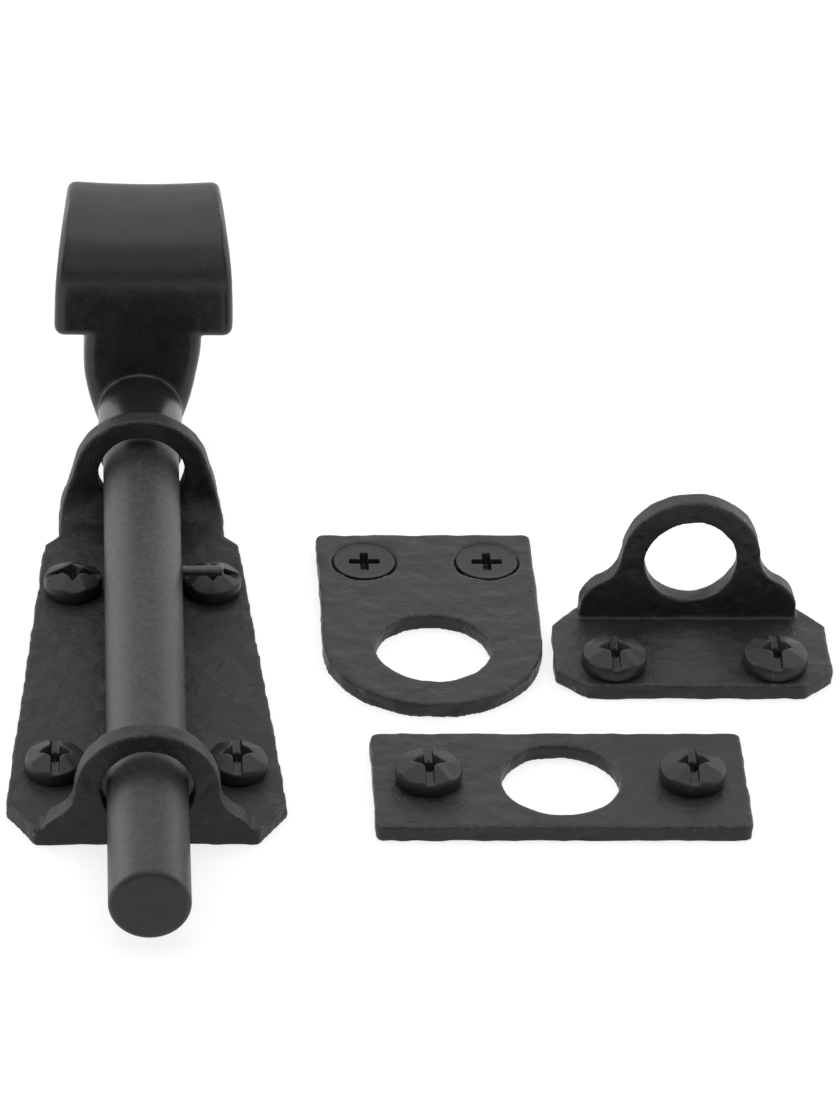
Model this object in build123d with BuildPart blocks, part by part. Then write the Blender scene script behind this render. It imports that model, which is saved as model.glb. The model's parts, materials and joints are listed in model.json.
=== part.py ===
"""Surface bolt with a T-shaped toggle handle, three alternative strikes and ten wood screws.

Millimetres. The origin is midway between the two front screws of the base plate, on its mounting
face. X runs across the plate, +Y from the bolt's nose to its handle, +Z out of the mounting face.
"""

import os
from math import atan2, cos, degrees, pi, radians, sin, tan

from build123d import *

# ---- bolt: a round rod that slides and turns in the two lugs of the base plate
rod_r = 4.7625  # 3/8 in rod
rod_float = 0.24  # rod above the plate
nose_reach = 21.4  # nose beyond the plate's front edge
nose_round = 0.7
bore_gap = 0.69  # radial, rod in the lug bores
bore_lift = 0.6  # the rod rests low in the bores, this far below their centre

# ---- base plate
plate_thk = 2.1
front_edge = 12.05  # from the front screws to the front edge
front_half = 13.1  # half widths at the front edge, the widest point, the tail and the neck
wide_half = 16.5
tail_half = 12.1
neck_half = 10.35
wide_back = 5.5  # from the front edge back to the widest point
row_gap = 38.1  # between the two rows of screws
tail_back = 10.15  # from the rear screws to where the sides end
neck_back = 1.9  # from there to the neck
front_pitch = 21.4
rear_pitch = 17.1
edge_round = 0.3

# ---- lugs: a bell outline at the front, a bent-up tongue at the rear
lug_thk = 2.6
lug_wall = 3.1  # metal beside the bore
foot_half = 12.8
shoulder_r = 4.3
shoulder_drop = 2.7  # from the rod axis down to the top of the bell's shoulders
hollow_r = 4.0  # concave corner between arch and shoulder
rear_lug_back = 17.25  # from the rear screws to the rear lug's inner face
bend_r = 3.5  # inside of the bend below the rear lug
tongue_z = 1.7  # where the tongue starts to taper

# ---- raised-head wood screws: pyramid head with a slot and a cross recess
plate_head_r = 3.65
strike_head_r = 4.0  # the strikes' screws have larger heads
rim_h = 2.2
rim_round = 0.45
head_h = 2.95
head_sides = 8
crown_r = 1.5  # radius of the pyramid's crown
slot_w = 1.15
slot_depth = 1.2
recess_r = 2.3
recess_w = 1.1
recess_depth = 1.9
screw_neck_r = 2.35  # inside the plate's hole
shank_r = 2.1  # below the mounting face
root_r = 1.4
screw_len = 19.0  # from the head's seat to the point
shank_len = 6.5  # plain shank below the mounting face
point_len = 4.0
thread_pitch = 1.7
screw_gap = 0.3  # radial, between a screw's neck and its hole

# ---- countersunk wood screws of the rounded strike
flat_head_r = 3.85
flat_land = 0.25  # straight rim of the head
csk_half_angle = 41.0
csk_gap = 0.2  # radial, between the head and its seat

# ---- handle: one casting of head, neck and boss, fixed to the rod's end
boss_r = 5.3
boss_len = 10.0
boss_gap = 3.5  # from the rear lug to the boss: the bolt's last travel forwards
head_rise = 10.75  # from the rod axis to the head's underside
head_tall = 16.1
head_deep = 13.5
head_base_half = 11.4  # half widths at the head's underside and top
head_top_half = 10.4
head_bulge = 0.35  # how far its ends bow out between those
head_back_lean = 4.0  # how far its ends lean inwards towards the back, degrees
lean_spare = 0.5  # how far the leaning ends are drawn past the front and the back
head_top_round = 10.5
head_foot_round = 1.2
head_back_round = 2.0
head_end_round = 1.2
neck_top_half = 7.4
neck_low_r = 5.75
neck_wrap = 20.0  # how far below the rod axis the neck's sides leave the round bottom, degrees
neck_deep = 9.0
neck_round = 1.4
spigot_r = 3.175  # rod end inside the handle
spigot_len = 12.0
spigot_gap = 0.05
spigot_end_gap = 0.5

# ---- stop pin, square to the rod
pin_r = 0.65
pin_gap = 19.8  # from the pin to the rear lug: the bolt's travel backwards
pin_reach = 9.8  # from the rod axis to the pin's end
pin_round = 0.25
pin_seat_gap = 0.03

# ---- strikes, laid out to the right of the bolt
strike_thk = 2.07
strike_gap = 2.28  # radial, rod in the flat and the rounded strike
corner_r = 1.0
flat_len, flat_wid = 44.4, 19.1
flat_x, flat_y = 48.95, -1.85
flat_pitch = 31.3
round_half = 13.43
round_x, round_y = 35.3, 27.05  # centre of the rounded end
round_back = 23.7  # from there to the straight end
round_hole_drop = 1.4  # from there to the hole's centre
round_pitch = 15.3
round_screw_back = 17.6
raised_x, raised_y = 66.97, 17.55  # middle of the flange's front edge
raised_half, raised_front_half, raised_rear_half = 16.9, 13.3, 13.75
raised_front_cut, raised_rear_cut = 3.4, 4.0
raised_deep = 17.0
raised_gap = 0.89  # radial, rod in the raised strike
raised_wall = 2.95
raised_rise = 8.23  # from the flange's top to the hole's centre
raised_lug_thk = 2.5
raised_foot_half = 13.4
raised_pitch = 19.7
raised_screw_back = 4.35  # from the flange's front edge
fold_r = 1.4

# ---- worked out from the sizes above
rod_z = plate_thk + rod_float + rod_r
lug_bore_r = rod_r + bore_gap
arch_r = lug_bore_r + lug_wall
nose_y = -front_edge - nose_reach
tail_y = row_gap + tail_back
neck_y = tail_y + neck_back
lug_y = row_gap + rear_lug_back
lug_end_y = lug_y + lug_thk
bend_outer_r = bend_r + (plate_thk + lug_thk) / 2
boss_y = lug_end_y + boss_gap
handle_y = boss_y + boss_len
head_low_z = rod_z + head_rise
head_top_z = head_low_z + head_tall
pin_y = lug_y - pin_gap - pin_r
shank_hole_r = screw_neck_r + screw_gap
strike_hole_r = rod_r + strike_gap
raised_hole_r = rod_r + raised_gap
raised_axis_z = strike_thk + raised_rise
raised_lug_y = raised_y + raised_deep - raised_lug_thk
csk_slope = tan(radians(csk_half_angle))
csk_top_r = flat_head_r + flat_land * csk_slope


def screw_spots(pitch, y, x=0.0):
    """Left and right screw places on a line across a plate."""
    return [(x - pitch / 2, y), (x + pitch / 2, y)]


def upright(y, x=0.0, back=False):
    """Plane across the bolt at this y, drawn in X and Z, extruding forwards or to the back."""
    away = 1 if back else -1
    return Plane((x, y, 0), x_dir=(-away, 0, 0), z_dir=(0, away, 0))


def mirrored(half):
    """Closed outline from its right-hand points, front to back."""
    return half + [(-x, y) for x, y in reversed(half)]


def bell(axis_z, arch, foot, shoulder_z):
    """Bell outline: an arch about the axis, sweeping out through hollows to round shoulders."""
    top = Vector(0, axis_z)
    shoulder = Vector(foot - shoulder_r, shoulder_z - shoulder_r)
    apart = shoulder - top
    along = apart.normalized()
    far, near = arch + hollow_r, shoulder_r + hollow_r
    run = (far**2 - near**2 + apart.length**2) / (2 * apart.length)
    hollow = top + along * run + Vector(-along.Y, along.X) * (far**2 - run**2) ** 0.5
    with BuildSketch() as outline:
        with BuildLine():
            Line((0, 0), (foot, 0))
            rise = Line((foot, 0), (foot, shoulder.Y))
            bulge = TangentArc(rise @ 1, shoulder + (hollow - shoulder).normalized() * shoulder_r,
                               tangent=rise % 1)
            sweep_in = TangentArc(bulge @ 1, top + (hollow - top).normalized() * arch,
                                  tangent=bulge % 1)
            TangentArc(sweep_in @ 1, (0, axis_z + arch), tangent=sweep_in % 1)
            mirror(about=Plane.YZ)
        make_face()
    return outline.sketch


def through_bore(y, x, z, radius, length):
    """Cut a round hole along Y, forwards from this y."""
    with BuildSketch(upright(y, x)) as hole:
        with Locations((0, z)):
            Circle(radius)
    extrude(hole.sketch, amount=length, mode=Mode.SUBTRACT)


def below_plate(seat):
    """Outline of a wood screw below the mounting face: shank, thread and point."""
    turns = round((screw_len - seat - shank_len - point_len) / thread_pitch)
    outline = [(shank_r, 0), (shank_r, -shank_len)]
    for turn in range(1, turns + 1):
        crest_z = -shank_len - turn * thread_pitch
        outline += [(root_r, crest_z + 0.7 * thread_pitch), (root_r, crest_z + 0.3 * thread_pitch),
                    (shank_r, crest_z)]
    return outline + [(root_r, crest_z - 0.3 * thread_pitch), (0, seat - screw_len)]


def cross_recess(top_z):
    """Cut the cross recess of a screw on the origin."""
    with BuildSketch(Plane.XY.offset(top_z)) as cross:
        Rectangle(2 * recess_r, recess_w)
        Rectangle(recess_w, 2 * recess_r)
    extrude(cross.sketch, amount=-recess_depth, mode=Mode.SUBTRACT)


def place_pair(screw, spots, name, turn=0):
    """Write a screw's two copies, left and right, turned about their own axes."""
    for side, spot in zip(("left", "right"), spots):
        with BuildPart() as placed:
            with Locations((*spot, 0)):
                add(screw, rotation=(0, 0, turn))
        finish(placed.part, f"{name}_{side}")


def finish(part, name):
    """Label one piece and write it."""
    part.label = name
    export_step(part, f"parts/{name}.step")


os.makedirs("parts", exist_ok=True)

# ---- base plate with its two lugs
plate_half = [(front_half, -front_edge), (wide_half, wide_back - front_edge),
              (tail_half, tail_y), (neck_half, neck_y), (neck_half, lug_y - bend_r)]
lug_top_z = rod_z + arch_r

with BuildPart() as tongue:
    with BuildSketch(Plane.YZ.offset(-neck_half)):
        with BuildLine():
            outer = FilletPolyline((neck_y, 0), (lug_end_y, 0), (lug_end_y, lug_top_z),
                                   radius=bend_outer_r)
            inner = FilletPolyline((lug_y, lug_top_z), (lug_y, plate_thk), (neck_y, plate_thk),
                                   radius=bend_r)
            Line(outer @ 1, inner @ 0)
            Line(inner @ 1, outer @ 0)
        make_face()
    extrude(amount=2 * neck_half)
    with BuildSketch(upright(lug_end_y)):
        with Locations((0, rod_z)):
            Circle(arch_r)
        with Locations((0, tongue_z / 2)):
            Rectangle(2 * neck_half, tongue_z)
        make_hull()
    extrude(amount=lug_end_y - neck_y, mode=Mode.INTERSECT)

with BuildPart() as base_plate:
    with BuildSketch():
        with BuildLine():
            Polyline(*mirrored(plate_half), close=True)
        make_face()
    extrude(amount=plate_thk)
    add(tongue.part)
    with BuildSketch(upright(lug_thk - front_edge)):
        add(bell(rod_z, arch_r, foot_half, rod_z - shoulder_drop))
    extrude(amount=lug_thk)
    through_bore(lug_end_y, 0, rod_z + bore_lift, lug_bore_r, lug_end_y + front_edge)
    front_spots = screw_spots(front_pitch, 0)
    rear_spots = screw_spots(rear_pitch, row_gap)
    with Locations(*[(*spot, plate_thk) for spot in front_spots + rear_spots]):
        Hole(shank_hole_r)
finish(base_plate.part, "base_plate")

# ---- rod, with a thinner end inside the handle
with BuildPart() as bolt_rod:
    with BuildSketch(upright(nose_y, back=True)):
        with Locations((0, rod_z)):
            Circle(rod_r)
    extrude(amount=boss_y - spigot_gap - nose_y)
    fillet(bolt_rod.edges().group_by(Axis.Y)[0], nose_round)
    with BuildSketch(upright(boss_y - spigot_gap, back=True)):
        with Locations((0, rod_z)):
            Circle(spigot_r)
    extrude(amount=spigot_len)
finish(bolt_rod.part, "bolt_rod")

# ---- stop pin, hollowed at its root to the rod's curve
with BuildPart() as stop_pin:
    with BuildSketch(Plane.YZ):
        with Locations((pin_y, rod_z)):
            Circle(pin_r)
    extrude(amount=pin_reach)
    fillet(stop_pin.edges().group_by(Axis.X)[-1], pin_round)
    through_bore(pin_y + pin_r, 0, rod_z, rod_r + pin_seat_gap, 2 * pin_r)
finish(stop_pin.part, "stop_pin")

# ---- handle head: its side outline, with ends that bow out and lean in upwards and backwards
with BuildPart() as head:
    with BuildSketch(Plane.YZ):
        with BuildLine():
            FilletPolyline(
                (handle_y, head_low_z), (handle_y + head_deep, head_low_z),
                (handle_y + head_deep, head_top_z), (handle_y, head_top_z),
                radius=[head_foot_round, head_foot_round, head_back_round, head_top_round],
                close=True)
        make_face()
    extrude(amount=head_base_half + head_bulge, both=True)
    low_end = Vector(head_base_half, head_low_z)
    chord = Vector(head_top_half, head_top_z) - low_end
    bow_r = (chord.length**2 / 4 + head_bulge**2) / (2 * head_bulge)
    bow = low_end + chord / 2 - Vector(chord.Y, -chord.X).normalized() * (bow_r - head_bulge)
    with BuildSketch(upright(handle_y - lean_spare, back=True)):
        with Locations(bow):
            Circle(bow_r)
        with Locations((-bow.X, bow.Y)):
            Circle(bow_r, mode=Mode.INTERSECT)
    extrude(amount=head_deep + 2 * lean_spare, taper=head_back_lean, mode=Mode.INTERSECT)
    ends = head.faces().sort_by(Axis.X)
    fillet(ends[0].edges() + ends[-1].edges(), head_end_round)

# ---- handle neck, wrapped round the rod at its foot
with BuildPart() as neck:
    with BuildSketch(upright(handle_y, back=True)):
        with BuildLine():
            leave = Vector(neck_low_r * cos(radians(neck_wrap)),
                           rod_z - neck_low_r * sin(radians(neck_wrap)))
            bottom = ThreePointArc((0, rod_z - neck_low_r),
                                   Vector(neck_low_r * sin(radians(45 - neck_wrap / 2)),
                                          rod_z - neck_low_r * cos(radians(45 - neck_wrap / 2))),
                                   leave)
            flank = TangentArc(leave, (neck_top_half, head_low_z), tangent=bottom % 1)
            Polyline(flank @ 1, (neck_top_half, head_low_z + head_foot_round),
                     (0, head_low_z + head_foot_round))
            mirror(about=Plane.YZ)
        make_face()
    extrude(amount=neck_deep)
    rims = neck.edges().filter_by(GeomType.LINE, reverse=True)
    fillet(rims.group_by(Axis.Y)[0] + rims.group_by(Axis.Y)[-1], neck_round)

with BuildPart() as toggle_handle:
    add(neck.part)
    add(head.part)
    with BuildSketch(upright(handle_y + neck_deep / 2)):
        with Locations((0, rod_z)):
            Circle(boss_r)
    extrude(amount=handle_y + neck_deep / 2 - boss_y)
    fillet(toggle_handle.edges().group_by(Axis.Y)[0], edge_round)
    bore_depth = spigot_len + spigot_end_gap
    through_bore(boss_y + bore_depth, 0, rod_z, spigot_r + spigot_gap, bore_depth)
finish(toggle_handle.part, "toggle_handle")

# ---- flat strike
flat_spots = screw_spots(flat_pitch, flat_y, flat_x)

with BuildPart() as flat_strike:
    with BuildSketch():
        with Locations((flat_x, flat_y)):
            RectangleRounded(flat_len, flat_wid, corner_r)
    extrude(amount=strike_thk)
    fillet(flat_strike.edges().group_by(Axis.Z)[-1], edge_round)
    with Locations((flat_x, flat_y, strike_thk)):
        Hole(strike_hole_r)
    with Locations(*[(*spot, strike_thk) for spot in flat_spots]):
        Hole(shank_hole_r)
finish(flat_strike.part, "flat_strike")

# ---- rounded strike, with countersunk screws
round_spots = screw_spots(round_pitch, round_y + round_screw_back, round_x)

with BuildPart() as round_strike:
    with BuildSketch():
        with Locations((round_x, round_y)):
            Circle(round_half)
        with Locations((round_x, round_y + round_back / 2)):
            Rectangle(2 * round_half, round_back)
    extrude(amount=strike_thk)
    fillet(round_strike.edges().filter_by(Axis.Z), corner_r)
    fillet(round_strike.edges().group_by(Axis.Z)[-1], edge_round)
    with Locations((round_x, round_y - round_hole_drop, strike_thk)):
        Hole(strike_hole_r)
    with Locations(*[(*spot, strike_thk) for spot in round_spots]):
        CounterSinkHole(shank_hole_r, csk_top_r + csk_gap, counter_sink_angle=2 * csk_half_angle)
finish(round_strike.part, "round_strike")

# ---- raised strike: a flange with a bell-shaped lug along its rear edge
raised_spots = screw_spots(raised_pitch, raised_y + raised_screw_back, raised_x)
raised_half_outline = [(raised_front_half, 0), (raised_half, raised_front_cut),
                       (raised_half, raised_deep - raised_rear_cut),
                       (raised_rear_half, raised_deep)]

with BuildPart() as raised_strike:
    with BuildSketch():
        with BuildLine(Plane((raised_x, raised_y, 0))):
            Polyline(*mirrored(raised_half_outline), close=True)
        make_face()
    extrude(amount=strike_thk)
    fillet(raised_strike.edges().group_by(Axis.Z)[-1], edge_round)
    with BuildSketch(upright(raised_y + raised_deep, raised_x)):
        add(bell(raised_axis_z, raised_hole_r + raised_wall, raised_foot_half,
                 raised_axis_z - shoulder_drop))
    extrude(amount=raised_lug_thk)
    fillet(raised_strike.edges().filter_by(Axis.X).group_by(Axis.Z)[0].sort_by(Axis.Y)[-1], fold_r)
    through_bore(raised_y + raised_deep, raised_x, raised_axis_z, raised_hole_r, raised_lug_thk)
    with Locations(*[(*spot, strike_thk) for spot in raised_spots]):
        Hole(shank_hole_r)
finish(raised_strike.part, "raised_strike")

# ---- raised-head screws, their slots along or across the bolt
for name, spots, seat, head_r, turn in [
        ("plate_screw_front", front_spots, plate_thk, plate_head_r, 0),
        ("plate_screw_rear", rear_spots, plate_thk, plate_head_r, 90),
        ("flat_strike_screw", flat_spots, strike_thk, strike_head_r, 0),
        ("raised_strike_screw", raised_spots, strike_thk, strike_head_r, 0)]:
    pyramid_r = head_r - rim_round
    lean = degrees(atan2(pyramid_r * cos(pi / head_sides) - crown_r, head_h - rim_h))
    with BuildPart() as raised_screw:
        with BuildSketch(Plane.XZ):
            with BuildLine():
                Polyline((0, seat + rim_h), (head_r, seat + rim_h), (head_r, seat),
                         (screw_neck_r, seat), (screw_neck_r, 0), *below_plate(seat), close=True)
            make_face()
        revolve()
        fillet(raised_screw.edges().group_by(Axis.Z)[-1], rim_round)
        with BuildSketch(Plane.XY.offset(seat + rim_h)):
            RegularPolygon(pyramid_r, head_sides)
        extrude(amount=head_h - rim_h, taper=lean)
        with BuildSketch(Plane.XY.offset(seat + head_h)):
            Rectangle(slot_w, 2 * head_r)
        extrude(amount=-slot_depth, mode=Mode.SUBTRACT)
        cross_recess(seat + head_h)
    place_pair(raised_screw.part, spots, name, turn)

# ---- countersunk screws
cone_end_z = strike_thk - flat_land - (flat_head_r - shank_r) / csk_slope

with BuildPart() as flat_screw:
    with BuildSketch(Plane.XZ):
        with BuildLine():
            Polyline((0, strike_thk), (flat_head_r, strike_thk),
                     (flat_head_r, strike_thk - flat_land), (shank_r, cone_end_z),
                     *below_plate(strike_thk)[1:], close=True)
        make_face()
    revolve()
    cross_recess(strike_thk)
place_pair(flat_screw.part, round_spots, "round_strike_screw")
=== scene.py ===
import json
from math import cos, pi, radians, sin

import bmesh
import bpy
from mathutils import Matrix, Vector, noise

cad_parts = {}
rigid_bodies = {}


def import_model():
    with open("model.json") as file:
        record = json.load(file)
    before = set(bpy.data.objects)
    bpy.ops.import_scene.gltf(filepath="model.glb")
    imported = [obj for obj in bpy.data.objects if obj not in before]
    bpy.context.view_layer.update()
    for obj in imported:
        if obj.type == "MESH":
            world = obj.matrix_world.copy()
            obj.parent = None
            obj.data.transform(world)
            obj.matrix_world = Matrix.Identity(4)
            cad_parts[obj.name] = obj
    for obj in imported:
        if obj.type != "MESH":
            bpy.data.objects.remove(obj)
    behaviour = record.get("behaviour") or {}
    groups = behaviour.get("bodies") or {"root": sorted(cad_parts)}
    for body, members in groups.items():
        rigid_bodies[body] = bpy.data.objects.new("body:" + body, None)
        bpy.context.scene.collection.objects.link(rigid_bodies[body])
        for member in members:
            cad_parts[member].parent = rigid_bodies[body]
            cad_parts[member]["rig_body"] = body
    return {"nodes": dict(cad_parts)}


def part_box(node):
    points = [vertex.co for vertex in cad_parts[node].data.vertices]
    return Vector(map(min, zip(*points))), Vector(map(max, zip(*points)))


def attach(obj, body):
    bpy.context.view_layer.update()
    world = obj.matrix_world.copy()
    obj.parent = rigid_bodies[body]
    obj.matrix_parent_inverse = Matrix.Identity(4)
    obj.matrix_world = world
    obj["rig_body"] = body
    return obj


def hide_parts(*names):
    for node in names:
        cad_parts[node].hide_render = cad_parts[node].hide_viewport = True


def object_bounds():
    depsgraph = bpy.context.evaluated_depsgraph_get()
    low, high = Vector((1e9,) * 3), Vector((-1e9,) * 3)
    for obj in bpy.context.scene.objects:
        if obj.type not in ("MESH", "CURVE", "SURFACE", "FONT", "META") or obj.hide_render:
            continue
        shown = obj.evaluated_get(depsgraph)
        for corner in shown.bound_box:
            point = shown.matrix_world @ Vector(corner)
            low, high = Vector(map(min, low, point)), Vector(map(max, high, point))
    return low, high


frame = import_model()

bl_info = {
    "name": "Toggle Bolt Latch",
    "version": (1, 0, 0),
    "blender": (4, 5, 0),
    "location": "View3D > Sidebar > Toggle Bolt",
    "description": "Black surface bolt with a toggle handle, three strikes and their screws",
    "category": "Add Mesh",
}

MM = 0.001
CAD_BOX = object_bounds()
X = Vector((1, 0, 0))
Y = Vector((0, 1, 0))
Z = Vector((0, 0, 1))
ORIGIN = Vector()


# ---------------------------------------------------------------- settings


class ForgingSettings(bpy.types.PropertyGroup):
    """How the plates, strikes and handle are beaten and softened."""

    grain: bpy.props.FloatProperty(
        name="Grain", description="Spacing of the rebuilt surface", default=0.21 * MM,
        unit="LENGTH", precision=5)
    dent_depth: bpy.props.FloatProperty(
        name="Dent depth", description="Deepest hammer mark on a plate", default=0.16 * MM,
        unit="LENGTH", precision=5)
    dent_size: bpy.props.FloatProperty(
        name="Dent size", description="Width of one hammer mark", default=4.5 * MM,
        unit="LENGTH", precision=4)
    edge_wave: bpy.props.FloatProperty(
        name="Edge wave", description="How far a sheared edge wanders inwards", default=0.3 * MM,
        unit="LENGTH", precision=5)
    lean: bpy.props.FloatProperty(
        name="Lean", description="How far the handle's head sits to the right of its boss",
        default=0.35 * MM, unit="LENGTH", precision=5)
    saddle: bpy.props.FloatProperty(
        name="Saddle", description="Hollow along the top of the handle's head", default=0.45 * MM,
        unit="LENGTH", precision=5)


class BarSettings(bpy.types.PropertyGroup):
    """The sliding rod and its stop pin."""

    nose_round: bpy.props.FloatProperty(
        name="Nose round", description="Rounding of the rod's nose", default=0.75 * MM,
        unit="LENGTH", precision=5)
    pin_round: bpy.props.FloatProperty(
        name="Pin round", description="Rounding of the stop pin's end", default=0.3 * MM,
        unit="LENGTH", precision=5)
    facets: bpy.props.IntProperty(
        name="Facets", description="Sides round the rod", default=128, min=24)


class ScrewSettings(bpy.types.PropertyGroup):
    """The wood screws."""

    grain: bpy.props.FloatProperty(
        name="Grain", description="Spacing of the rebuilt head", default=0.1 * MM,
        unit="LENGTH", precision=5)
    rim_height: bpy.props.FloatProperty(
        name="Rim height", description="Side of a raised head", default=2.0 * MM,
        unit="LENGTH", precision=5)
    crown: bpy.props.FloatProperty(
        name="Crown", description="Radius of the raised head's flat crown", default=1.35 * MM,
        unit="LENGTH", precision=5)
    slot_width: bpy.props.FloatProperty(
        name="Slot width", description="Width of the slot across a raised head", default=1.05 * MM,
        unit="LENGTH", precision=5)
    slot_depth: bpy.props.FloatProperty(
        name="Slot depth", description="Depth of that slot below the crown", default=1.15 * MM,
        unit="LENGTH", precision=5)
    cross_width: bpy.props.FloatProperty(
        name="Cross width", description="Width of the cross recess's arms", default=1.0 * MM,
        unit="LENGTH", precision=5)
    cross_flare: bpy.props.FloatProperty(
        name="Cross flare", description="Half width of a raised head's wings at the middle",
        default=1.35 * MM, unit="LENGTH", precision=5)
    cross_reach: bpy.props.FloatProperty(
        name="Cross reach", description="From the screw's middle to the end of an arm",
        default=2.25 * MM, unit="LENGTH", precision=5)
    cross_depth: bpy.props.FloatProperty(
        name="Cross depth", description="Depth of the cross recess", default=1.9 * MM,
        unit="LENGTH", precision=5)
    seed: bpy.props.IntProperty(
        name="Seed", description="Random order of the hammered facets", default=5)
    pitch: bpy.props.FloatProperty(
        name="Pitch", description="Rise of the thread in one turn", default=1.7 * MM,
        unit="LENGTH", precision=5)


class FinishSettings(bpy.types.PropertyGroup):
    """Colours and gloss of the black finishes."""

    # A little darker than the strikes' black: painted shade for the handle and rear lug that stand
    # over the plate.
    plate: bpy.props.FloatVectorProperty(
        name="Plate", description="Black of the base plate", subtype="COLOR",
        default=(0.012, 0.012, 0.0123))
    casting: bpy.props.FloatVectorProperty(
        name="Casting", description="Black of the strikes", subtype="COLOR",
        default=(0.014, 0.014, 0.0145))
    bar: bpy.props.FloatVectorProperty(
        name="Bar", description="Black of the rod and pin", subtype="COLOR",
        default=(0.014, 0.014, 0.0145))
    screw: bpy.props.FloatVectorProperty(
        name="Screw", description="Black of the screws", subtype="COLOR",
        default=(0.011, 0.011, 0.0115))
    handle: bpy.props.FloatVectorProperty(
        name="Handle", description="Black of the handle", subtype="COLOR",
        default=(0.011, 0.011, 0.0113))
    # Colour laid on rubbed specks and on convex edges; on the edges it is partly wear and partly a
    # painted highlight.
    wear_and_highlight_colour: bpy.props.FloatVectorProperty(
        name="Wear and highlight", description="Colour of rubbed specks and edges", subtype="COLOR",
        default=(0.09, 0.09, 0.092))


class StageSettings(bpy.types.PropertyGroup):
    """Camera, floor and lights."""

    floor: bpy.props.FloatVectorProperty(
        name="Floor", description="Colour of the floor", subtype="COLOR", default=(0.3, 0.3, 0.3))
    floor_glow: bpy.props.FloatProperty(
        name="Floor glow", description="Light the floor gives off", default=0.72)
    sky: bpy.props.FloatProperty(
        name="Sky", description="Strength of the surrounding light", default=0.15)
    lens: bpy.props.FloatProperty(
        name="Lens", description="Focal length on a 24 mm high sensor", default=128.25)


# ---------------------------------------------------------------- finishes


class Sock:
    """A shader socket that takes Python arithmetic."""

    def __init__(self, tree, out):
        self.tree = tree
        self.out = out

    def maths(self, operation, a, b):
        node = self.tree.nodes.new("ShaderNodeMath")
        node.operation = operation
        plug(self.tree, node.inputs[0], a)
        plug(self.tree, node.inputs[1], b)
        return Sock(self.tree, node.outputs[0])

    def __add__(self, other):
        return self.maths("ADD", self, other)

    __radd__ = __add__

    def __sub__(self, other):
        return self.maths("SUBTRACT", self, other)

    def __rsub__(self, other):
        return self.maths("SUBTRACT", other, self)

    def __mul__(self, other):
        return self.maths("MULTIPLY", self, other)

    __rmul__ = __mul__


def plug(tree, slot, value):
    """Link a socket to an input, or set the input's own value."""
    if isinstance(value, Sock):
        tree.links.new(value.out, slot)
    else:
        slot.default_value = value


class Finish:
    """One material and the nodes that make it."""

    def __init__(self, name):
        self.material = bpy.data.materials.new(name)
        self.material.use_nodes = True
        self.tree = self.material.node_tree
        self.tree.nodes.clear()

    def node(self, kind, settings, inputs, out=0):
        """Add a node, set it up, fill its inputs and hand back one of its outputs."""
        made = self.tree.nodes.new("ShaderNode" + kind)
        for key, value in settings.items():
            setattr(made, key, value)
        for key, value in inputs.items():
            plug(self.tree, made.inputs[key], value)
        return Sock(self.tree, made.outputs[out])

    def noise(self, where, size, detail=2.0, roughness=0.5):
        """Noise whose lumps are about this size, in metres."""
        return self.node("TexNoise", {}, {"Vector": where, "Scale": 1 / size, "Detail": detail,
                                          "Roughness": roughness})

    def between(self, value, low, high):
        """0 below low, 1 above high, and a straight ramp between."""
        return self.node("MapRange", {"clamp": True},
                         {"Value": value, "From Min": low, "From Max": high})

    def absolute(self, value):
        return self.node("Math", {"operation": "ABSOLUTE"}, {0: value})

    def mix(self, amount, a, b):
        """Colour a, giving way to colour b."""
        node = self.tree.nodes.new("ShaderNodeMix")
        node.data_type = "RGBA"
        plug(self.tree, node.inputs[0], amount)
        plug(self.tree, node.inputs[6], a)
        plug(self.tree, node.inputs[7], b)
        return Sock(self.tree, node.outputs[2])

    def end(self, shader):
        out = self.tree.nodes.new("ShaderNodeOutputMaterial")
        self.tree.links.new(shader.out, out.inputs["Surface"])
        return self.material


def rgba(colour, by=1.0):
    return (colour[0] * by, colour[1] * by, colour[2] * by, 1.0)


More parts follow.
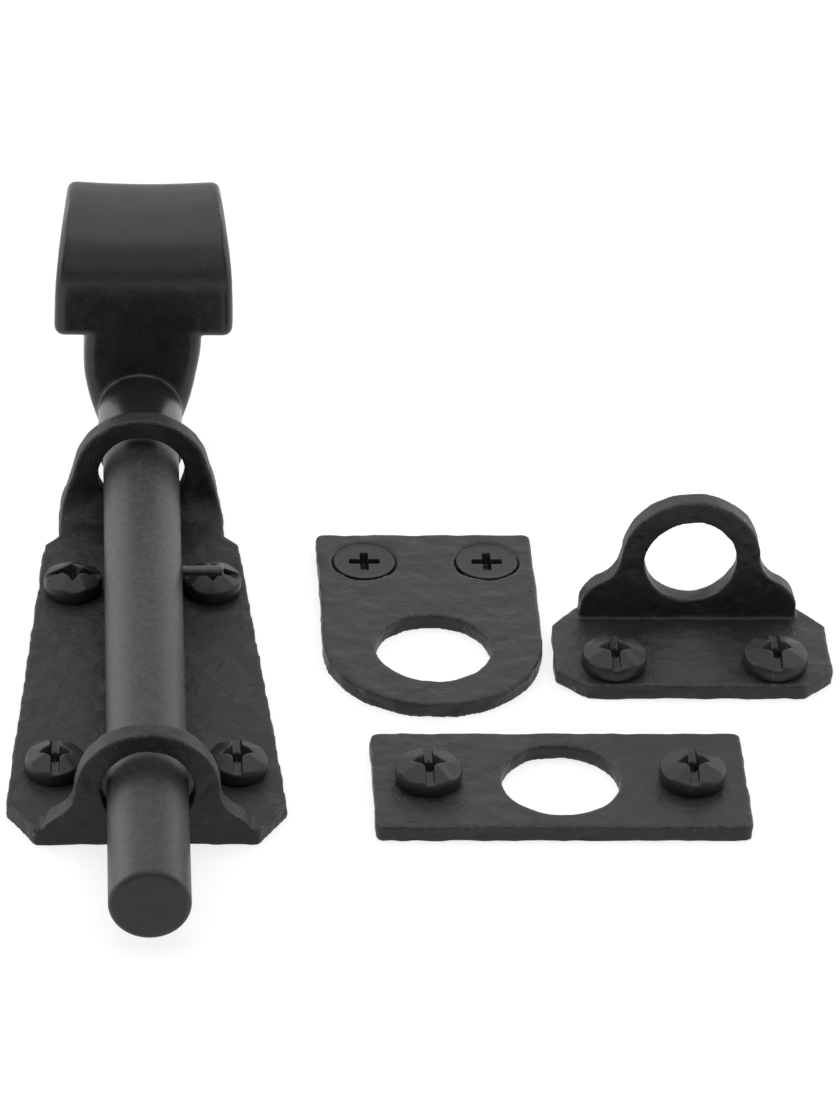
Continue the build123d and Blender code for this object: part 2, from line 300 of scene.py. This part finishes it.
def black_finish(name, colour, wear_and_highlight_colour, rough, sheen, forged, pores, wear_and_highlight_amount):
    """Baked-on black over iron.

    forged is the strength of the hammered hollows and creases, pores the depth of the fine powder
    in metres, and the last argument how much of the spots is rubbed through and how much the convex
    edges are lightened, partly as rubbed wear and partly as a painted highlight.
    """
    finish = Finish(name)
    where = finish.node("TexCoord", {}, {}, "Object")
    stretched = finish.node("Mapping", {}, {"Vector": where, "Scale": (0.75, 1.0, 1.0)})
    cloud = finish.noise(where, 6 * MM, 4.0, 0.6)
    patch = finish.noise(stretched, 1.9 * MM, 4.0, 0.6)
    powder = finish.noise(where, 0.2 * MM, 2.0, 0.7)
    crisp = finish.noise(where, 0.55 * MM, 3.0, 0.6)
    broad = finish.noise(where, 4.5 * MM, 2.0, 0.45)
    hollow = finish.between(finish.noise(where, 3.1 * MM, 3.0, 0.5), 0.53, 0.68)
    fold = finish.noise(stretched, 3.6 * MM, 2.0, 0.55)
    crease = 1.0 - finish.between(finish.absolute(fold - 0.5), 0.0, 0.02)

    tone = finish.between(cloud * 0.45 + patch * 0.45 + powder * 0.3, 0.42, 0.8)
    base = finish.mix(tone, rgba(colour, 0.62), rgba(colour, 1.5))
    cells = finish.node("TexVoronoi", {"feature": "F1"},
                        {"Vector": where, "Scale": 1 / (2.0 * MM), "Randomness": 1.0})
    spot = (1.0 - finish.between(cells, 0.03, 0.08)) * finish.between(crisp, 0.48, 0.6)
    # Convex edges are lightened with the worn colour: partly rubbed wear, partly a painted
    # highlight where edges would catch the light.
    edge = finish.between(finish.node("NewGeometry", {}, {}, "Pointiness"), 0.515, 0.58)
    chafed_and_highlit_edges = edge * 0.9 * finish.between(crisp, 0.42, 0.62)
    wear_and_highlight_mask = finish.between(spot * wear_and_highlight_amount + chafed_and_highlit_edges * wear_and_highlight_amount, 0.0, 1.0)
    base = finish.mix(wear_and_highlight_mask, base, rgba(wear_and_highlight_colour))

    gloss = (rough + (cloud - 0.5) * 0.14 + (patch - 0.5) * (0.06 + 0.07 * forged)
             + (powder - 0.5) * 0.12 - wear_and_highlight_mask * 0.1)
    height = ((broad * 0.00008 - hollow * 0.00006 - crease * 0.00003) * forged
              + crisp * pores * 2.5 + powder * pores)
    bump = finish.node("Bump", {}, {"Strength": 1.0, "Distance": 1.0, "Height": height})
    return finish.end(finish.node("BsdfPrincipled", {}, {
        "Base Color": base, "Roughness": gloss, "Normal": bump, "Specular IOR Level": sheen}))


# The plate's black is darkened as painted shade from the handle and rear lug.
def plate_finish(finishes):
    return black_finish("Black Plate", finishes.plate, finishes.wear_and_highlight_colour,
                        rough=0.48, sheen=0.24, forged=1.0, pores=0.000006, wear_and_highlight_amount=0.7)


def casting_finish(finishes):
    return black_finish("Black Casting", finishes.casting, finishes.wear_and_highlight_colour,
                        rough=0.46, sheen=0.3, forged=1.0, pores=0.000006, wear_and_highlight_amount=0.8)


def handle_finish(finishes):
    return black_finish("Black Handle", finishes.handle, finishes.wear_and_highlight_colour,
                        rough=0.27, sheen=0.45, forged=0.1, pores=0.000004, wear_and_highlight_amount=0.6)


def bar_finish(finishes):
    return black_finish("Black Bar", finishes.bar, finishes.wear_and_highlight_colour,
                        rough=0.42, sheen=0.33, forged=0.03, pores=0.000002, wear_and_highlight_amount=0.4)


def pin_finish(finishes):
    return black_finish("Black Pin", finishes.bar, finishes.wear_and_highlight_colour,
                        rough=0.24, sheen=0.6, forged=0.0, pores=0.000001, wear_and_highlight_amount=0.3)


def screw_finish(finishes):
    return black_finish("Black Screw", finishes.screw, finishes.wear_and_highlight_colour,
                        rough=0.42, sheen=0.3, forged=0.25, pores=0.000004, wear_and_highlight_amount=0.6)


# ---------------------------------------------------------------- shaping


def shell(node):
    """A merged copy of a CAD node's mesh."""
    mesh = bmesh.new()
    mesh.from_mesh(frame["nodes"][node].data)
    bmesh.ops.remove_doubles(mesh, verts=mesh.verts, dist=0.5e-6)
    return mesh


def through(mesh, modifiers):
    """The mesh as these modifiers leave it."""
    raw = bpy.data.meshes.new("raw")
    mesh.to_mesh(raw)
    mesh.free()
    bench = bpy.data.objects.new("bench", raw)
    bpy.context.scene.collection.objects.link(bench)
    for kind, settings in modifiers:
        modifier = bench.modifiers.new(kind, kind)
        for key, value in settings.items():
            setattr(modifier, key, value)
    worked = bench.evaluated_get(bpy.context.evaluated_depsgraph_get())
    done = bmesh.new()
    done.from_mesh(worked.to_mesh())
    worked.to_mesh_clear()
    bpy.data.objects.remove(bench)
    bpy.data.meshes.remove(raw)
    return done


def rebuilt(mesh, grain, passes):
    """The outer skin of the mesh at an even spacing, with its edges softened."""
    skin = through(mesh, [("REMESH", {"mode": "VOXEL", "voxel_size": grain})])
    for _ in range(passes):
        bmesh.ops.smooth_vert(skin, verts=skin.verts, factor=0.5, use_axis_x=True,
                              use_axis_y=True, use_axis_z=True)
    skin.normal_update()
    return skin


def beaten(skin, forging, seed, depth=1.0, wave=1.0):
    """Hammer marks on the faces and a wandering line along the edges, kept inside the CAD box."""
    shift = Vector((seed * 3.1, seed * 1.7, seed * 2.3))
    moves = []
    for vert in skin.verts:
        spot = vert.co / forging.dent_size + shift
        near = noise.voronoi(spot)[0]
        ridge = max(0.0, 1 - (near[1] - near[0]) * 2.2)
        marks = 0.5 * ridge - 0.25 + 0.7 * noise.noise(spot * 1.3) + 0.3 * noise.noise(spot * 3.1)
        wander = noise.noise(vert.co / (5.5 * MM) + shift * 2)
        chips = max(0.0, noise.noise(vert.co / (1.9 * MM) - shift) - 0.1)
        sideways = 1 - min(1.0, abs(vert.normal.z) * 1.4)
        out = depth * forging.dent_depth * marks
        out += wave * sideways * forging.edge_wave * (0.45 * wander - 0.9 * chips)
        moves.append(vert.normal * out)
    low, high = CAD_BOX
    for vert, move in zip(skin.verts, moves):
        vert.co += move
        for axis in range(3):
            vert.co[axis] = min(high[axis], max(low[axis], vert.co[axis]))
    return skin


def piece(mesh, name, node, material):
    """Make the mesh a shaded piece that stands for a CAD node and rides with it."""
    done = bpy.data.meshes.new(name)
    mesh.normal_update()
    mesh.to_mesh(done)
    mesh.free()
    done.shade_smooth()
    done.materials.append(material)
    obj = bpy.data.objects.new(name, done)
    bpy.context.scene.collection.objects.link(obj)
    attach(obj, frame["nodes"][node]["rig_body"])
    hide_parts(node)
    return obj


def turned(profile, centre, axis, across, steps):
    """A solid of revolution from (radius, distance along the axis) points."""
    mesh = bmesh.new()
    verts = [mesh.verts.new(centre + across * r + axis * d) for r, d in profile]
    edges = [mesh.edges.new(pair) for pair in zip(verts, verts[1:])]
    bmesh.ops.spin(mesh, geom=verts + edges, cent=centre, axis=axis, angle=2 * pi, steps=steps,
                   use_merge=True, use_normal_flip=False, use_duplicate=False)
    bmesh.ops.remove_doubles(mesh, verts=mesh.verts, dist=1e-7)
    bmesh.ops.recalc_face_normals(mesh, faces=mesh.faces)
    return mesh


def corner(radius, end, rounding, steps=6):
    """Profile points of a rounded end: from flat on the axis's side to the full radius."""
    sign = 1 if end[1] > 0 else -1
    return [(radius - rounding + rounding * sin(a), end[0] - sign * (rounding - rounding * cos(a)))
            for a in (0.5 * pi * n / steps for n in range(steps + 1))]


def marks_sharp(mesh, angle):
    """Mark as sharp the edges that turn by more than this."""
    for edge in mesh.edges:
        edge.smooth = len(edge.link_faces) != 2 or edge.calc_face_angle() < angle


# ---------------------------------------------------------------- screws

INSIDE = 0.02 * MM  # how far a screw's skin keeps inside its CAD solid
SHANK_R = 2.05 * MM


def block(mesh, size, centre):
    """A box in the mesh."""
    place = Matrix.Translation(centre) @ Matrix.Diagonal((*size, 1))
    return bmesh.ops.create_cube(mesh, size=1.0, matrix=place)["verts"]


def cutter(shape):
    """A throwaway object that a Boolean modifier can cut with."""
    data = bpy.data.meshes.new("cutter")
    bmesh.ops.triangulate(shape, faces=shape.faces)
    bmesh.ops.recalc_face_normals(shape, faces=shape.faces)
    shape.to_mesh(data)
    shape.free()
    tool = bpy.data.objects.new("cutter", data)
    bpy.context.scene.collection.objects.link(tool)
    return tool


def cut(mesh, keep, away):
    """What the mesh has inside the shapes to keep and outside the shapes to take away."""
    tools = [("INTERSECT", cutter(shape)) for shape in keep]
    tools += [("DIFFERENCE", cutter(shape)) for shape in away]
    done = through(mesh, [
        ("BOOLEAN", {"operation": operation, "solver": "EXACT", "use_self": True, "object": tool})
        for operation, tool in tools])
    for _, tool in tools:
        data = tool.data
        bpy.data.objects.remove(tool)
        bpy.data.meshes.remove(data)
    return done


def wedge(sides, wide, narrow, top, deep, squash=1.0, turn=0.0):
    """A tapering cutter, wide at the top and narrow at its depth, squashed along Y, then turned."""
    shape = bmesh.new()
    over = wide + (wide - narrow) * MM / deep
    place = (Matrix.Rotation(turn, 4, "Z") @ Matrix.Diagonal((1, squash, 1, 1))
             @ Matrix.Translation((0, 0, top - deep / 2 + MM / 2)))
    bmesh.ops.create_cone(shape, cap_ends=True, segments=sides, radius1=narrow, radius2=over,
                          depth=deep + MM, matrix=place)
    return shape


def winged_cross(screws, top):
    """Cutters of a raised head's recess: two pointed wings each way and a deep round middle."""
    wing = screws.cross_flare / screws.cross_reach
    deep = screws.cross_depth
    wings = [wedge(4, screws.cross_reach, 0.3 * screws.cross_reach, top, deep, wing, turn)
             for turn in (0.0, pi / 2)]
    return wings + [wedge(12, 1.25 * MM, 0.5 * MM, top, deep * 1.15)]


def straight_cross(screws, top):
    """Cutters of a flat head's recess: two tapering bars and a round middle."""
    bars = []
    deep = 0.85 * screws.cross_depth
    for along in (0, 1):
        bar = bmesh.new()
        size = [1.15 * screws.cross_width, 1.15 * screws.cross_width, deep + MM]
        size[along] = 1.95 * screws.cross_reach
        for vert in block(bar, size, (0, 0, top - deep / 2 + MM / 2)):
            if vert.co.z < top - deep / 2:
                vert.co.x *= 0.7
                vert.co.y *= 0.7
        bars.append(bar)
    return bars + [wedge(12, 0.8 * MM, 0.5 * MM, top, deep * 1.1)]


def threaded_shank(screws, start, low, shank_r, neck_r, neck_z):
    """Neck, plain shank, tapering core and a helical thread, down to the point."""
    core_r = 0.66 * shank_r
    plain = -6.5 * MM
    tip = low + 4.2 * MM
    mesh = turned([(0, start), (neck_r, start), (neck_r, neck_z), (shank_r, neck_z),
                   (shank_r, plain), (core_r, plain - 0.5 * MM), (core_r, tip),
                   (core_r * 0.7, low + 2 * MM), (0, low)], ORIGIN, Z, X, 32)
    rise = screws.pitch
    turns = int((plain - low - 1.2 * MM) / rise)
    steps_per_turn = 24
    top = plain - 0.2 * MM
    ridge = bmesh.new()
    verts = [ridge.verts.new((r, 0, top + h)) for r, h in (
        (core_r * 0.8, 0.45 * rise), (shank_r, 0.05 * rise), (shank_r, -0.03 * rise),
        (core_r * 0.8, -0.2 * rise))]
    edges = [ridge.edges.new((verts[n], verts[n - 1])) for n in range(4)]
    bmesh.ops.spin(ridge, geom=verts + edges, cent=ORIGIN, axis=Z, angle=2 * pi * turns,
                   steps=steps_per_turn * turns, dvec=(0, 0, -rise / steps_per_turn),
                   use_duplicate=False)
    bmesh.ops.holes_fill(ridge, edges=ridge.edges, sides=4)
    bmesh.ops.recalc_face_normals(ridge, faces=ridge.faces)
    for vert in ridge.verts:
        fade = min(1.0, max(0.12, (vert.co.z - low) / (tip - low)))
        vert.co.x *= fade
        vert.co.y *= fade
    join(mesh, ridge)
    marks_sharp(mesh, radians(35))
    return mesh


def join(mesh, other):
    """Add another mesh's pieces to this one."""
    data = bpy.data.meshes.new("join")
    other.to_mesh(data)
    other.free()
    mesh.from_mesh(data)
    bpy.data.meshes.remove(data)


def raised_head(screws, radius, height):
    """A thick barrel rim under an uneven hammered pyramid, slotted across and cross-recessed."""
    noise.seed_set(screws.seed)
    low = -0.3 * MM
    slope = (radius - 0.5 * MM - screws.crown) / (height - screws.rim_height)
    foot = screws.crown + slope * (height - low)
    sides = 7
    to_corner = 1.11
    unevenness = 0.3 * MM
    facets = bmesh.new()
    place = (Matrix.Translation((0, 0, (height + low) / 2)) @ Matrix.Rotation(radians(14), 4, "Z"))
    corners = bmesh.ops.create_cone(facets, cap_ends=True, segments=sides,
                                    radius1=to_corner * foot, radius2=to_corner * screws.crown,
                                    depth=height - low, matrix=place)["verts"]
    for vert in corners:
        wander = noise.noise_vector(vert.co / (2.1 * MM) + Vector((4.0, 9.0, 2.0)))
        vert.co.x += unevenness * wander.x
        vert.co.y += unevenness * wander.y
        if vert.co.z > 0:
            vert.co.z -= unevenness * abs(wander.z)
    rim = turned([(0, 0), (radius - 0.3 * MM, 0), (radius - 0.08 * MM, 0.25 * MM),
                  (radius, 0.9 * MM), (radius - 0.05 * MM, 1.5 * MM),
                  (radius - 0.2 * MM, 1.95 * MM), (radius - 0.5 * MM, 2.3 * MM),
                  (radius - 0.5 * MM, height + 0.5 * MM), (0, height + 0.5 * MM)],
                 ORIGIN, Z, X, 72)
    slot = bmesh.new()
    block(slot, (screws.slot_width, 3 * radius, 2 * screws.slot_depth), (0, 0, height))
    return rebuilt(cut(rim, [facets], [slot, *winged_cross(screws, height)]), screws.grain, 2)


def flat_head(screws, radius, top, shank_r):
    """A countersunk head with a narrow straight rim and a cross recess."""
    land = 0.25 * MM
    slope = 0.869
    cone = (radius - shank_r) / slope
    mesh = turned([(0, top - 0.05 * MM), (radius - 0.42 * MM, top - 0.05 * MM),
                   (radius - 0.24 * MM, top), (radius - 0.08 * MM, top), (radius, top - 0.08 * MM),
                   (radius, top - land), (shank_r, top - land - cone), (0, top - land - cone)],
                  ORIGIN, Z, X, 96)
    return rebuilt(cut(mesh, [], straight_cross(screws, top)), screws.grain * 0.8, 1)


def placed(mesh, x, y, z, turn):
    """A copy of the mesh, turned about its axis and set in place."""
    copy = mesh.copy()
    bmesh.ops.rotate(copy, verts=copy.verts, cent=(0, 0, 0), matrix=Matrix.Rotation(turn, 3, "Z"))
    bmesh.ops.translate(copy, verts=copy.verts, vec=(x, y, z))
    return copy


def middle_of(node):
    """The middle of a CAD node's box."""
    low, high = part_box(node)
    return (low + high) / 2


# ---------------------------------------------------------------- operators


class BOLT_OT_base_plate(bpy.types.Operator):
    """Forge the base plate with its two lugs"""

    bl_idname = "bolt.base_plate"
    bl_label = "Base plate"

    def execute(self, context):
        scene = context.scene
        skin = rebuilt(shell("base_plate"), scene.bolt_forging.grain * 1.08, 1)
        piece(beaten(skin, scene.bolt_forging, 1), "Plate", "base_plate",
              plate_finish(scene.bolt_finish))
        return {"FINISHED"}


class BOLT_OT_strikes(bpy.types.Operator):
    """Forge the flat, rounded and raised strikes"""

    bl_idname = "bolt.strikes"
    bl_label = "Strikes"

    def execute(self, context):
        scene = context.scene
        iron = casting_finish(scene.bolt_finish)
        for seed, node, name in ((2, "flat_strike", "Strike_Flat"),
                                 (3, "round_strike", "Strike_Rounded"),
                                 (4, "raised_strike", "Strike_Raised")):
            skin = rebuilt(shell(node), scene.bolt_forging.grain, 1)
            piece(beaten(skin, scene.bolt_forging, seed), name, node, iron)
        return {"FINISHED"}


class BOLT_OT_rod(bpy.types.Operator):
    """Turn the sliding rod and its stop pin"""

    bl_idname = "bolt.rod"
    bl_label = "Rod and pin"

    def execute(self, context):
        scene = context.scene
        bars = scene.bolt_bar
        black = bar_finish(scene.bolt_finish)
        low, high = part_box("bolt_rod")
        radius = (high.x - low.x) / 2
        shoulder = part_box("toggle_handle")[0].y - 0.05 * MM
        centre = Vector((0, 0, (low.z + high.z) / 2))
        profile = [(0, low.y)] + corner(radius, (low.y, -1), bars.nose_round)
        tail_r = 3.0 * MM
        profile += [(radius, shoulder), (tail_r, shoulder), (tail_r, high.y), (0, high.y)]
        rod = turned(profile, centre, Y, Z, bars.facets)
        marks_sharp(rod, radians(40))
        piece(rod, "Rod", "bolt_rod", black)

        low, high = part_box("stop_pin")
        radius = (high.y - low.y) / 2
        centre = Vector((0, (low.y + high.y) / 2, (low.z + high.z) / 2))
        root = high.x - 5.0 * MM
        profile = [(0, root), (radius, root)]
        profile += list(reversed(corner(radius, (high.x, 1), bars.pin_round))) + [(0, high.x)]
        pin = turned(profile, centre, X, Z, 48)
        marks_sharp(pin, radians(40))
        piece(pin, "Stop_Pin", "stop_pin", pin_finish(scene.bolt_finish))
        return {"FINISHED"}


class BOLT_OT_handle(bpy.types.Operator):
    """Cast the toggle handle"""

    bl_idname = "bolt.handle"
    bl_label = "Handle"

    def execute(self, context):
        scene = context.scene
        forging = scene.bolt_forging
        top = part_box("toggle_handle")[1].z
        saddle_depth = 9 * MM
        saddle_half = 9.5 * MM
        neck_low = 12 * MM
        neck_tall = 6 * MM
        skin = rebuilt(shell("toggle_handle"), forging.grain, 8)
        for vert in skin.verts:
            lift = max(0.0, (vert.co.z - top + saddle_depth) / saddle_depth)
            across = min(1.0, abs(vert.co.x) / saddle_half)
            vert.co.z -= forging.saddle * (1 - across**2) * lift**2
            rise = min(1.0, max(0.0, (vert.co.z - neck_low) / neck_tall))
            vert.co.x += forging.lean * rise
        piece(beaten(skin, forging, 5, 0.15, 0.15), "Handle", "toggle_handle",
              handle_finish(scene.bolt_finish))
        return {"FINISHED"}


class BOLT_OT_raised_screws(bpy.types.Operator):
    """Make the raised-head wood screws of the plate and the flat and raised strikes"""

    bl_idname = "bolt.raised_screws"
    bl_label = "Raised-head screws"
    head_height = 2.95 * MM

    def execute(self, context):
        scene = context.scene
        screws = scene.bolt_screw
        black = screw_finish(scene.bolt_finish)
        for sets in ((("plate_screw_front", 0), ("plate_screw_rear", pi / 2)),
                     (("flat_strike_screw", 0), ("raised_strike_screw", 0))):
            low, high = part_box(sets[0][0] + "_left")
            seat = high.z - self.head_height
            head = raised_head(screws, (high.x - low.x) / 2 - INSIDE, self.head_height - INSIDE)
            join(head, threaded_shank(screws, 0.5 * MM, low.z + 0.1 * MM - seat, SHANK_R, 2.3 * MM,
                                      -seat))
            for node, turn in sets:
                for name, half_turn in ((node + "_left", 0), (node + "_right", pi)):
                    at = middle_of(name)
                    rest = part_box(name)[1].z - self.head_height
                    piece(placed(head, at.x, at.y, rest, turn + half_turn),
                          name.title() + "_Piece", name, black)
            head.free()
        return {"FINISHED"}


class BOLT_OT_flat_screws(bpy.types.Operator):
    """Make the rounded strike's countersunk wood screws"""

    bl_idname = "bolt.flat_screws"
    bl_label = "Countersunk screws"

    def execute(self, context):
        scene = context.scene
        screws = scene.bolt_screw
        black = screw_finish(scene.bolt_finish)
        low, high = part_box("round_strike_screw_left")
        head = flat_head(screws, (high.x - low.x) / 2 - INSIDE, high.z - INSIDE, 2.1 * MM)
        join(head, threaded_shank(screws, 0.2 * MM, low.z + 0.1 * MM, SHANK_R, SHANK_R, 0.0))
        for side in ("left", "right"):
            name = f"round_strike_screw_{side}"
            at = middle_of(name)
            piece(placed(head, at.x, at.y, 0, 0), name.title() + "_Piece", name,
                  black)
        head.free()
        return {"FINISHED"}


class BOLT_OT_stage(bpy.types.Operator):
    """Lay the floor and set up the lights and the camera"""

    bl_idname = "bolt.stage"
    bl_label = "Stage"

    def execute(self, context):
        scene = context.scene
        stage = scene.bolt_stage
        self.floor(stage)
        self.sky(scene, stage)
        for name, spot, size, strength in (
                ("Back", (0.05, 1.1, 0.45), (3.2, 1.3), 1.15),
                ("Top", (0.05, 0.1, 1.1), (1.6, 1.5), 1.5),
                ("Front", (0.0, -0.95, 0.75), (1.6, 1.0), 0.55),
                ("Left", (-1.0, 0.25, 0.42), (1.6, 1.0), 2.2),
                ("Right", (1.1, 0.25, 0.42), (1.6, 1.0), 1.8)):
            self.softbox(name, spot, size, strength)
        self.camera(scene, stage)
        scene.view_settings.view_transform = "Standard"
        scene.view_settings.look = "None"
        return {"FINISHED"}

    def floor(self, stage):
        ground = bmesh.new()
        bmesh.ops.create_grid(ground, x_segments=1, y_segments=1, size=3.0,
                              matrix=Matrix.Translation((0, 0, -0.05 * MM)))
        data = bpy.data.meshes.new("Floor")
        ground.to_mesh(data)
        ground.free()
        finish = Finish("Pale Floor")
        data.materials.append(finish.end(finish.node("BsdfPrincipled", {}, {
            "Base Color": rgba(stage.floor), "Roughness": 0.9, "Specular IOR Level": 0.1,
            "Emission Color": rgba((1, 1, 1)), "Emission Strength": stage.floor_glow})))
        floor = bpy.data.objects.new("Floor", data)
        bpy.context.scene.collection.objects.link(floor)

    def sky(self, scene, stage):
        world = bpy.data.worlds.new("Tent")
        world.use_nodes = True
        tree = world.node_tree
        back = tree.nodes["Background"]
        back.inputs["Color"].default_value = (1, 1, 1, 1)
        seen = Sock(tree, tree.nodes.new("ShaderNodeLightPath").outputs["Is Camera Ray"])
        plug(tree, back.inputs["Strength"], seen * (1 - stage.sky) + stage.sky)
        scene.world = world

    def softbox(self, name, spot, size, strength):
        data = bpy.data.lights.new(name, "AREA")
        data.shape = "RECTANGLE"
        data.size, data.size_y = size
        data.energy = strength * pi * size[0] * size[1]
        light = bpy.data.objects.new(name, data)
        place = Vector(spot)
        aim = (Vector((0.03, 0.03, 0.0)) - place).to_track_quat("-Z", "Y")
        light.matrix_world = Matrix.Translation(place) @ aim.to_matrix().to_4x4()
        light.visible_camera = False
        bpy.context.scene.collection.objects.link(light)

    def camera(self, scene, stage):
        place = Vector((-10.92, -574.65, 415.16)) * MM
        target = Vector((34.86, 47.95, 0.0)) * MM
        roll = radians(2.451)
        data = bpy.data.cameras.new("Camera")
        data.sensor_fit = "VERTICAL"
        data.sensor_height = 24.0
        data.lens = stage.lens
        camera = bpy.data.objects.new("Camera", data)
        ahead = (target - place).normalized()
        right = ahead.cross(Vector((0, 0, 1))).normalized()
        up = right.cross(ahead)
        side = right * cos(roll) + up * sin(roll)
        top = up * cos(roll) - right * sin(roll)
        camera.matrix_world = Matrix.Translation(place) @ Matrix(
            (side, top, -ahead)).transposed().to_4x4()
        scene.collection.objects.link(camera)
        scene.camera = camera


class BOLT_PT_panel(bpy.types.Panel):
    """The bolt's pieces in the sidebar"""

    bl_idname = "BOLT_PT_panel"
    bl_label = "Toggle Bolt"
    bl_space_type = "VIEW_3D"
    bl_region_type = "UI"
    bl_category = "Toggle Bolt"

    def draw(self, context):
        for operator in MAKERS:
            self.layout.operator(operator.bl_idname)


GROUPS = {"bolt_forging": ForgingSettings, "bolt_bar": BarSettings, "bolt_screw": ScrewSettings,
          "bolt_finish": FinishSettings, "bolt_stage": StageSettings}
MAKERS = (BOLT_OT_base_plate, BOLT_OT_strikes, BOLT_OT_rod, BOLT_OT_handle, BOLT_OT_raised_screws,
          BOLT_OT_flat_screws, BOLT_OT_stage)


def register():
    for group in GROUPS.values():
        bpy.utils.register_class(group)
    for name, group in GROUPS.items():
        setattr(bpy.types.Scene, name, bpy.props.PointerProperty(type=group))
    for operator in MAKERS:
        bpy.utils.register_class(operator)
    bpy.utils.register_class(BOLT_PT_panel)


def unregister():
    bpy.utils.unregister_class(BOLT_PT_panel)
    for operator in reversed(MAKERS):
        bpy.utils.unregister_class(operator)
    for name, group in GROUPS.items():
        delattr(bpy.types.Scene, name)
        bpy.utils.unregister_class(group)


def main():
    register()
    for operator in MAKERS:
        group, name = operator.bl_idname.split(".")
        getattr(getattr(bpy.ops, group), name)()


if __name__ == "__main__":
    main()
